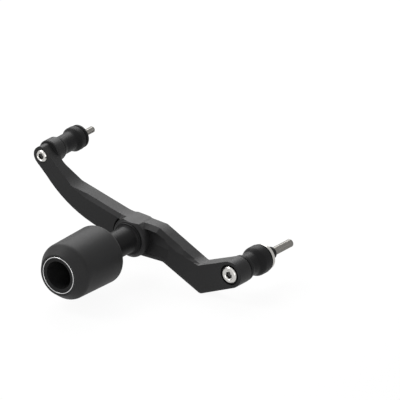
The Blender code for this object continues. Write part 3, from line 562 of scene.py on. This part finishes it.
def frame_bolt(node, axis, shank, *, head, height, key, key_depth, threaded, pitch):
    """Frame bolt with a flat head, a hexagon socket in a shallow dish and a threaded end."""
    top, tip, _ = reach_of(node)
    edge, under_edge, root = 0.8 * MM, 0.3 * MM, 0.4 * MM
    dish, dish_floor, dish_mouth, dish_edge = 0.5 * MM, key + 0.5 * MM, key + 1.1 * MM, 0.2 * MM
    crown, crown_height, crown_round = head - 1.2 * MM, 1.3 * MM, 1.0 * MM
    seat = top + height
    thread_start, thread_end = tip - threaded, tip - edge
    piece = spin_profile(node + "_turned", [
        (top + dish, 0, 0), (top + dish, dish_floor, 0), (top, dish_mouth, dish_edge),
        (top, crown, crown_round), (top + crown_height, head, edge), (seat, head, under_edge),
        (seat, shank, root),
        *thread_rings(thread_start, thread_end, shank, pitch), (tip, shank - edge, 0), (tip, 0, 0),
    ], axis, closed=False, steps=SCREW_STEPS)
    cut_thread(piece, axis, thread_start, thread_end, shank, pitch)
    cut_key_socket(piece, axis, top, key_depth, key, -1)
    bright = bpy.context.scene.crash_protector_colours.bright
    # Depth and radius of the socket, whose walls get painted shade.
    socket = (top + dish + 0.3 * MM, key)
    steel = steel_finish("bright_steel_" + node, bright, 0.26, axis, seat + 0.1 * MM, socket)
    finish_piece(piece, steel, node)


# Pieces


class CRASHPROTECTOR_OT_arm(bpy.types.Operator):
    """Arm: the frame's own solid, merged, its machined edges softened and its finish put on"""
    bl_idname = "crashprotector.arm"
    bl_label = "Model Arm"

    def execute(self, context):
        sizes = context.scene.crash_protector_sizes
        select_only(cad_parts["arm"])
        bpy.ops.object.duplicate()
        piece = context.object
        piece.name = piece.data.name = "arm_dressed"
        bpy.ops.object.mode_set(mode="EDIT")
        close_and_face_out()
        bpy.ops.mesh.dissolve_limited(angle_limit=math.radians(0.3))
        bpy.ops.object.mode_set(mode="OBJECT")
        self.slope_scoop(piece)
        start, end = UPPER_AXIS.x + 12.0 * MM, LOWER_AXIS.x - 14.0 * MM
        self.slice_top(piece, start, end)
        material = anodised_finish("anodised_arm", rounding=sizes.edge_softness)
        finish_piece(piece, material, "arm", angle=20)
        apply_modifier(piece, "WEIGHTED_NORMAL", mode="FACE_AREA", weight=100, keep_sharp=True)
        self.ease_top(piece, start, end)
        return {"FINISHED"}

    @staticmethod
    def slope_scoop(piece):
        """Lets the floor of the front scoop rise to the front face along its lower edge."""
        corner = SPINDLE_AXIS + Vector((17.0 * MM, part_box("arm")[0][1] + BOSS_HEIGHT, -13.9 * MM))
        width, rise = 24.5 * MM, 12.0 * MM
        shallow, deep = 0.8 * MM, 4.7 * MM
        least, slack = 0.12, 0.1 * MM

        def in_scoop(place):
            away = place - corner
            return -slack < away.x < width and shallow < away.y < deep

        pick_faces(piece, lambda face: in_scoop(face.center) and face.normal.y < -0.9)
        bpy.ops.mesh.bisect(plane_co=corner + Vector((0, 0, rise)), plane_no=(0, 0, 1))
        bpy.ops.object.mode_set(mode="OBJECT")
        for vertex in piece.data.vertices:
            away = vertex.co - corner
            if in_scoop(vertex.co) and away.z < rise:
                vertex.co.y = corner.y + away.y * max(least, away.z / rise)

    @staticmethod
    def slice_top(piece, start, end):
        """Cuts the top of the bar across at even steps, for its normals to change along it."""
        step = 4.0 * MM

        def is_crossed(face, place):
            ends = [piece.data.vertices[index].co.x for index in face.vertices]
            level = abs(face.normal.y) < ACROSS and face.normal.z > 0.3
            return level and min(ends) < place < max(ends)

        for cut in range(int((end - start) / step) + 1):
            place = start + cut * step
            pick_faces(piece, lambda face: is_crossed(face, place))
            bpy.ops.mesh.bisect(plane_co=(place, 0, 0), plane_no=(1, 0, 0))
            bpy.ops.object.mode_set(mode="OBJECT")

    @staticmethod
    def ease_top(piece, start, end):
        """Turns the normals of the bar's top evenly from slope to slope, as a mean along the bar."""
        mesh = piece.data
        reach, samples = 9.0 * MM, 9
        offsets = [reach * sample / samples for sample in range(-samples, samples + 1)]
        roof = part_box("arm")[1][2] + reach

        def top_at(x, y):
            hit, _, normal, index = piece.ray_cast(Vector((x, y, roof)), Vector((0, 0, -1)))
            return (normal, index) if hit and abs(normal.y) < ACROSS else (Vector(), -1)

        normals = [corner.vector.copy() for corner in mesh.corner_normals]
        for face in mesh.polygons:
            middle = face.center
            if not start < middle.x < end or top_at(middle.x, middle.y)[1] != face.index:
                continue
            for corner in face.loop_indices:
                x = mesh.vertices[mesh.loops[corner].vertex_index].co.x
                total = sum((top_at(x + offset, middle.y)[0] for offset in offsets), Vector())
                normals[corner] = total.normalized()
        mesh.normals_split_custom_set(normals)


class CRASHPROTECTOR_OT_bobbin(bpy.types.Operator):
    """Bobbin: its nylon body, the sleeve moulded into it and the ring in its nose"""
    bl_idname = "crashprotector.bobbin"
    bl_label = "Model Bobbin"

    def execute(self, context):
        bore = 14.8 * MM
        self.body()
        self.nose_ring(bore)
        self.sleeve(bore)
        return {"FINISHED"}

    @staticmethod
    def body():
        """Nylon body with a coned nose, bored for the ring and the sleeve and recessed for the spindle."""
        nose, rear, rear_radius = reach_of("bobbin")
        ring_rear, ring_radius = reach_of("nose_ring")[1:]
        core_radius = reach_of("bobbin_core")[2]
        nose_radius, shoulder, cone = 21.8 * MM, 29.7 * MM, 11.4 * MM
        nose_edge, shoulder_edge, rear_edge = 0.9 * MM, 9.0 * MM, 5.0 * MM
        recess_radius, recess, mouth_edge, floor_edge = 19.8 * MM, 3.0 * MM, 0.5 * MM, 0.4 * MM
        body = spin_profile("bobbin_body", [
            (nose, ring_radius + GAP, 0), (nose, nose_radius, nose_edge),
            (nose + cone, shoulder, shoulder_edge), (rear, rear_radius, rear_edge),
            (rear, recess_radius, mouth_edge), (rear - recess, recess_radius, floor_edge),
            (rear - recess, core_radius + GAP, 0), (ring_rear + GAP, core_radius + GAP, 0),
            (ring_rear + GAP, ring_radius + GAP, 0),
        ], SPINDLE_AXIS, segments=12)
        finish_piece(body, nylon_finish("nylon_bobbin", SPINDLE_AXIS), "bobbin")

    @staticmethod
    def nose_ring(bore):
        """Ring let into the nose, with a raised bright lip."""
        front, rear, radius = reach_of("nose_ring")
        lip_radius, lip, edge, chamfer = 18.5 * MM, 0.5 * MM, 0.1 * MM, 0.5 * MM
        floor = front + lip
        ring = spin_profile("nose_trim", [
            (floor + 4 * edge, bore, 0), (floor + edge, bore + chamfer, 2 * edge),
            (floor, lip_radius, 2 * edge), (front, lip_radius + 2 * edge, edge),
            (front, radius - chamfer, edge), (floor, radius, edge), (rear, radius, 0), (rear, bore, 0),
        ], SPINDLE_AXIS)
        trim = lipped_finish("anodised_nose_ring", SPINDLE_AXIS, lip_radius + edge, radius - 4 * edge)
        finish_piece(ring, trim, "nose_ring")

    @staticmethod
    def sleeve(bore):
        """Sleeve through the body, with the web that the screw clamps and a socket for the spindle."""
        front, rear, radius = reach_of("bobbin_core")
        web = reach_of("bobbin_bolt_washer")[1] + GAP
        web_rear = web + 8.0 * MM
        hole, socket = 5.25 * MM, 14.1 * MM
        rear_edge, socket_edge, hole_edge, web_edge = 0.8 * MM, 0.4 * MM, 0.3 * MM, 1.0 * MM
        core = spin_profile("bobbin_sleeve", [
            (front, bore, 0), (front, radius, 0), (rear, radius, rear_edge),
            (rear, socket, socket_edge), (web_rear, socket, 0), (web_rear, hole, 0),
            (web, hole, hole_edge), (web, bore, web_edge),
        ], SPINDLE_AXIS)
        metal = anodised_finish("anodised_bobbin", SPINDLE_AXIS)
        finish_piece(core, metal, "bobbin_core")


class CRASHPROTECTOR_OT_spindle(bpy.types.Operator):
    """Spindle with its flared collar"""
    bl_idname = "crashprotector.spindle"
    bl_label = "Model Spindle"

    def execute(self, context):
        sizes = context.scene.crash_protector_sizes
        front, rear, collar_radius = reach_of("spindle")
        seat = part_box("arm")[0][1] - GAP
        radius, thickness, hole = 13.8 * MM, 1.8 * MM, 4.9 * MM + sizes.hole_clearance
        front_edge, root, collar_edge, seat_edge = 0.8 * MM, 2.3 * MM, 0.5 * MM, 0.3 * MM
        piece = spin_profile("spindle_turned", [
            (front, hole, 0), (front, radius, front_edge), (seat - thickness, radius, root),
            (seat - thickness, collar_radius, collar_edge), (seat, collar_radius, seat_edge),
            (seat, radius, 0), (rear, radius, 0), (rear, hole, 0),
        ], SPINDLE_AXIS)
        finish_piece(piece, anodised_finish("anodised_spindle", SPINDLE_AXIS), "spindle")
        return {"FINISHED"}


class CRASHPROTECTOR_OT_screws(bpy.types.Operator):
    """Screws of the spindle and the bobbin, with their washers"""
    bl_idname = "crashprotector.screws"
    bl_label = "Model Screws"

    def execute(self, context):
        sizes = context.scene.crash_protector_sizes
        colours = context.scene.crash_protector_colours
        steel = steel_finish("bright_steel_screws", colours.bright, 0.30, SPINDLE_AXIS)
        shank = 4.9 * MM
        for node, facing in (("bobbin_bolt", -1), ("spindle_bolt", 1)):
            self.cap_screw(node, facing, shank, sizes.lower_pitch, steel)
            low, high, radius = reach_of(node + "_washer")
            washer = spin_disc(node + "_washer_turned", SPINDLE_AXIS, low, high,
                               shank + sizes.hole_clearance, radius, 0.4 * MM, segments=3, steps=72)
            finish_piece(washer, steel, node + "_washer")
        return {"FINISHED"}

    def cap_screw(self, node, facing, shank, pitch, steel):
        """Socket cap screw. Facing is -1 where its head looks outboard."""
        head, height, key, edge, under_edge = 8.0 * MM, 10.0 * MM, 4.6 * MM, 0.8 * MM, 0.3 * MM
        threaded = 22.0 * MM
        low, high, _ = reach_of(node)
        top, tip = (low, high) if facing < 0 else (high, low)
        seat = top - facing * height
        thread_start, thread_end = tip + facing * threaded, tip + facing * edge
        piece = spin_profile(node + "_turned", [
            (top, 0, 0), (top, head, edge), (seat, head, under_edge), (seat, shank, under_edge),
            *thread_rings(thread_start, thread_end, shank, pitch), (tip, shank - edge, 0), (tip, 0, 0),
        ], SPINDLE_AXIS, closed=False, steps=SCREW_STEPS)
        cut_thread(piece, SPINDLE_AXIS, *sorted((thread_start, thread_end)), shank, pitch)
        self.knurl(piece, head, *sorted((seat, top)))
        cut_key_socket(piece, SPINDLE_AXIS, top, height / 2, key, facing)
        finish_piece(piece, steel, node)

    @staticmethod
    def knurl(piece, head, low, high):
        """Presses straight grooves round the side of a cap head."""
        plain, grooves, ridge_share, depth = 0.4 * MM, 30, 0.4, 0.25 * MM
        side = head - 0.05 * MM
        for vertex in piece.data.vertices:
            across, up = vertex.co.x - SPINDLE_AXIS.x, vertex.co.z - SPINDLE_AXIS.z
            reach = math.hypot(across, up)
            if low + plain < vertex.co.y < high - plain and reach > side:
                turn = math.atan2(up, across) / math.tau * grooves % 1
                share = 1 - depth * (turn > ridge_share) / reach
                vertex.co.x = SPINDLE_AXIS.x + across * share
                vertex.co.z = SPINDLE_AXIS.z + up * share


class CRASHPROTECTOR_OT_upper_stack(bpy.types.Operator):
    """Upper frame bolt, its flared spacer, ring and washer"""
    bl_idname = "crashprotector.upper_stack"
    bl_label = "Model Upper Stack"

    def execute(self, context):
        sizes = context.scene.crash_protector_sizes
        metal = anodised_finish("anodised_upper", UPPER_AXIS)
        shank = 3.3 * MM
        bore = shank + sizes.hole_clearance
        self.spacer(bore, metal)
        for node, material, slot, edge in (
                ("upper_spacer_ring", rubber_finish("rubber_upper"), "rubber_black", 0.7 * MM),
                ("upper_end_washer", metal, "anodised_black", 0.5 * MM)):
            low, high, radius = reach_of(node)
            piece = spin_disc(node + "_turned", UPPER_AXIS, low, high, bore, radius, edge)
            finish_piece(piece, material, node)
        frame_bolt("upper_bolt", UPPER_AXIS, shank, head=6.3 * MM, height=5.0 * MM, key=3.5 * MM,
                   key_depth=3.0 * MM, threaded=24.0 * MM, pitch=sizes.upper_pitch)
        return {"FINISHED"}

    @staticmethod
    def spacer(bore, metal):
        """Spacer with a foot on the arm, a waist and a straight flared end."""
        start, end, flare_radius = reach_of("upper_spacer")
        foot, neck, waist, flare, rise = 11.7 * MM, 4.8 * MM, 9.8 * MM, end - 11.5 * MM, 4.5 * MM
        foot_edge, neck_round, flare_root, flare_round, end_edge = (
            0.3 * MM, 9.0 * MM, 5.0 * MM, 4.0 * MM, 1.4 * MM)
        spacer = spin_profile("upper_spacer_turned", [
            (start, bore, 0), (start, foot, foot_edge), (start + neck, waist, neck_round),
            (flare, waist, flare_root), (flare + rise, flare_radius, flare_round),
            (end, flare_radius, end_edge), (end, waist, 0), (end, bore, 0),
        ], UPPER_AXIS, segments=10)
        finish_piece(spacer, metal, "upper_spacer")


class CRASHPROTECTOR_OT_lower_stack(bpy.types.Operator):
    """Lower frame bolt, its bulb spacer, ring, washer and the collar on its stud"""
    bl_idname = "crashprotector.lower_stack"
    bl_label = "Model Lower Stack"

    def execute(self, context):
        sizes = context.scene.crash_protector_sizes
        shank = 4.2 * MM
        bore = shank + sizes.hole_clearance
        self.spacer(bore)
        rubber = rubber_finish("rubber_lower")
        plain = steel_finish("plain_steel_washer", context.scene.crash_protector_colours.plain, 0.34,
                             LOWER_AXIS)
        thinner, longer = 1.2 * MM, 8.2 * MM
        for node, material, slot, edge, shift_low, shift_high in (
                ("lower_spacer_ring", rubber, "rubber_black", 0.7 * MM, 0, -thinner),
                ("lower_end_washer", plain, "plain_steel", 0.6 * MM, -thinner, 0),
                ("bolt_retainer", rubber, "rubber_black", 0.6 * MM, 0, longer)):
            low, high, radius = reach_of(node)
            piece = spin_disc(node + "_turned", LOWER_AXIS, low + shift_low, high + shift_high, bore,
                              radius, edge)
            finish_piece(piece, material, node)
        frame_bolt("lower_bolt", LOWER_AXIS, shank, head=8.75 * MM, height=5.5 * MM, key=4.1 * MM,
                   key_depth=3.2 * MM, threaded=38.0 * MM, pitch=sizes.lower_pitch)
        return {"FINISHED"}

    @staticmethod
    def spacer(bore):
        """Spacer with a foot on the arm, a waist and a bulb at its end."""
        start, end, bulb_radius = reach_of("lower_spacer")
        foot_radius, waist, foot, neck = 13.6 * MM, 11.9 * MM, 2.6 * MM, 3.9 * MM
        bulb, rise = end - 16.2 * MM, 5.2 * MM
        start_edge, foot_edge, root, bulb_round, end_edge = (
            0.2 * MM, 0.8 * MM, 5.0 * MM, 9.0 * MM, 1.8 * MM)
        spacer = spin_profile("lower_spacer_turned", [
            (start, bore, 0), (start, foot_radius, start_edge), (start + foot, foot_radius, foot_edge),
            (start + foot + neck, waist, root), (bulb, waist, root),
            (bulb + rise, bulb_radius, bulb_round), (end, bulb_radius, end_edge), (end, waist, 0),
            (end, bore, 0),
        ], LOWER_AXIS, segments=10)
        metal = anodised_finish("anodised_lower", LOWER_AXIS)
        finish_piece(spacer, metal, "lower_spacer")


class CRASHPROTECTOR_OT_stage(bpy.types.Operator):
    """Pale floor, soft light and the camera"""
    bl_idname = "crashprotector.stage"
    bl_label = "Set Up Stage"

    def execute(self, context):
        self.floor(context)
        self.world(context)
        for name, offset, size, power in (
                ("top_light", (-0.45, 0.55, 0.65), 0.9, 9.0),
                ("front_fill", (0.2, -0.9, 0.5), 0.8, 1.0),
                ("facet_light", (-0.53, -0.38, 0.70), 0.5, 5.0),
                ("side_fill", (0.60, -0.80, 0.10), 0.6, 2.5)):
            self.lamp(context, name, Vector(offset), size, power)
        self.camera(context)
        return {"FINISHED"}

    @staticmethod
    def seen_white(tree):
        """Mask that is one for camera, glossy and transmission rays."""
        path = tree.nodes.new("ShaderNodeLightPath").outputs
        seen = math_node(tree, "MAXIMUM", path["Is Camera Ray"], path["Is Glossy Ray"])
        return math_node(tree, "MAXIMUM", seen, path["Is Transmission Ray"])

    def floor(self, context):
        """Floor just under the part, which takes its shadow and is otherwise nearly white."""
        low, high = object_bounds()
        deselect_all()
        bpy.ops.mesh.primitive_grid_add(
            x_subdivisions=8, y_subdivisions=8, size=6,
            location=((low[0] + high[0]) / 2, (low[1] + high[1]) / 2, low[2] - 0.5 * MM))
        floor = context.object
        floor.name = floor.data.name = "studio_floor"
        bpy.ops.object.transform_apply(location=True, rotation=True, scale=True)
        material, tree, shader = new_material("studio_floor")
        shader.inputs["Base Color"].default_value = (*context.scene.crash_protector_colours.floor, 1)
        shader.inputs["Roughness"].default_value = 0.9
        shader.inputs["Specular IOR Level"].default_value = 0.0
        white = tree.nodes.new("ShaderNodeEmission")
        white.inputs["Strength"].default_value = 1.0
        white_share = 0.93
        mix = tree.nodes.new("ShaderNodeMixShader")
        tree.links.new(math_node(tree, "MULTIPLY", self.seen_white(tree), white_share), mix.inputs[0])
        tree.links.new(shader.outputs[0], mix.inputs[1])
        tree.links.new(white.outputs[0], mix.inputs[2])
        tree.links.new(mix.outputs[0], tree.nodes["Material Output"].inputs["Surface"])
        floor.data.materials.append(material)
        floor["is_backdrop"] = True

    def world(self, context):
        """White surroundings, half as bright where they only light the part."""
        lighting = 0.5
        world = bpy.data.worlds.new("studio_world")
        context.scene.world = world
        world.use_nodes = True
        tree = world.node_tree
        background = tree.nodes["Background"]
        background.inputs["Color"].default_value = (1, 1, 1, 1)
        strength = math_node(tree, "MULTIPLY_ADD", self.seen_white(tree), 1 - lighting, lighting)
        tree.links.new(strength, background.inputs["Strength"])

    @staticmethod
    def lamp(context, name, offset, size, power):
        """Round soft lamp at an offset from the middle of the part, aimed at it."""
        low, high = (Vector(corner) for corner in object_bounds())
        deselect_all()
        bpy.ops.object.light_add(type="AREA", location=(low + high) / 2 + offset)
        lamp = context.object
        lamp.name = name
        lamp.data.shape = "DISK"
        lamp.data.size = size
        lamp.data.energy = power
        lamp.rotation_euler = (-offset).to_track_quat("-Z", "Y").to_euler()

    @staticmethod
    def camera(context):
        """Camera without perspective, aimed by its distance from where the spindle meets the arm's face."""
        sizes = context.scene.crash_protector_sizes
        azimuth, elevation = sizes.camera_azimuth, sizes.camera_elevation
        back = Vector((math.sin(azimuth) * math.cos(elevation),
                       -math.cos(azimuth) * math.cos(elevation), math.sin(elevation)))
        right = Vector((math.cos(azimuth), math.sin(azimuth), 0))
        up = back.cross(right)
        datum = SPINDLE_AXIS + Vector((0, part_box("arm")[0][1] + BOSS_HEIGHT, 0))
        aim_right, aim_up = 68.24 * MM, 36.68 * MM
        target = datum + right * aim_right + up * aim_up
        deselect_all()
        bpy.ops.object.camera_add()
        camera = context.object
        camera.name = "photo_camera"
        camera.data.type = "ORTHO"
        camera.data.ortho_scale = sizes.camera_width
        camera.matrix_world = (Matrix.Translation(target + back)
                               @ Matrix((right, up, back)).transposed().to_4x4())
        context.scene.camera = camera
        context.scene.view_settings.view_transform = "Standard"


STEPS = ("arm", "bobbin", "spindle", "screws", "upper_stack", "lower_stack", "stage")


class CRASHPROTECTOR_PT_panel(bpy.types.Panel):
    """Sizes, colours and the steps in order"""
    bl_idname = "CRASHPROTECTOR_PT_panel"
    bl_label = "Crash Protector"
    bl_space_type = "VIEW_3D"
    bl_region_type = "UI"
    bl_category = "Protector"

    def draw(self, context):
        for group in (context.scene.crash_protector_sizes, context.scene.crash_protector_colours):
            box = self.layout.box()
            for label in group.bl_rna.properties.keys():
                if label not in ("rna_type", "name"):
                    box.prop(group, label)
        for step in STEPS:
            self.layout.operator("crashprotector." + step)


CLASSES = (
    CrashProtectorSizes,
    CrashProtectorColours,
    CRASHPROTECTOR_OT_arm,
    CRASHPROTECTOR_OT_bobbin,
    CRASHPROTECTOR_OT_spindle,
    CRASHPROTECTOR_OT_screws,
    CRASHPROTECTOR_OT_upper_stack,
    CRASHPROTECTOR_OT_lower_stack,
    CRASHPROTECTOR_OT_stage,
    CRASHPROTECTOR_PT_panel,
)


def register():
    for cls in CLASSES:
        bpy.utils.register_class(cls)
    bpy.types.Scene.crash_protector_sizes = bpy.props.PointerProperty(type=CrashProtectorSizes)
    bpy.types.Scene.crash_protector_colours = bpy.props.PointerProperty(type=CrashProtectorColours)


def unregister():
    del bpy.types.Scene.crash_protector_colours
    del bpy.types.Scene.crash_protector_sizes
    for cls in reversed(CLASSES):
        bpy.utils.unregister_class(cls)


def main():
    register()
    for step in STEPS:
        getattr(bpy.ops.crashprotector, step)()


if __name__ == "__main__":
    main()
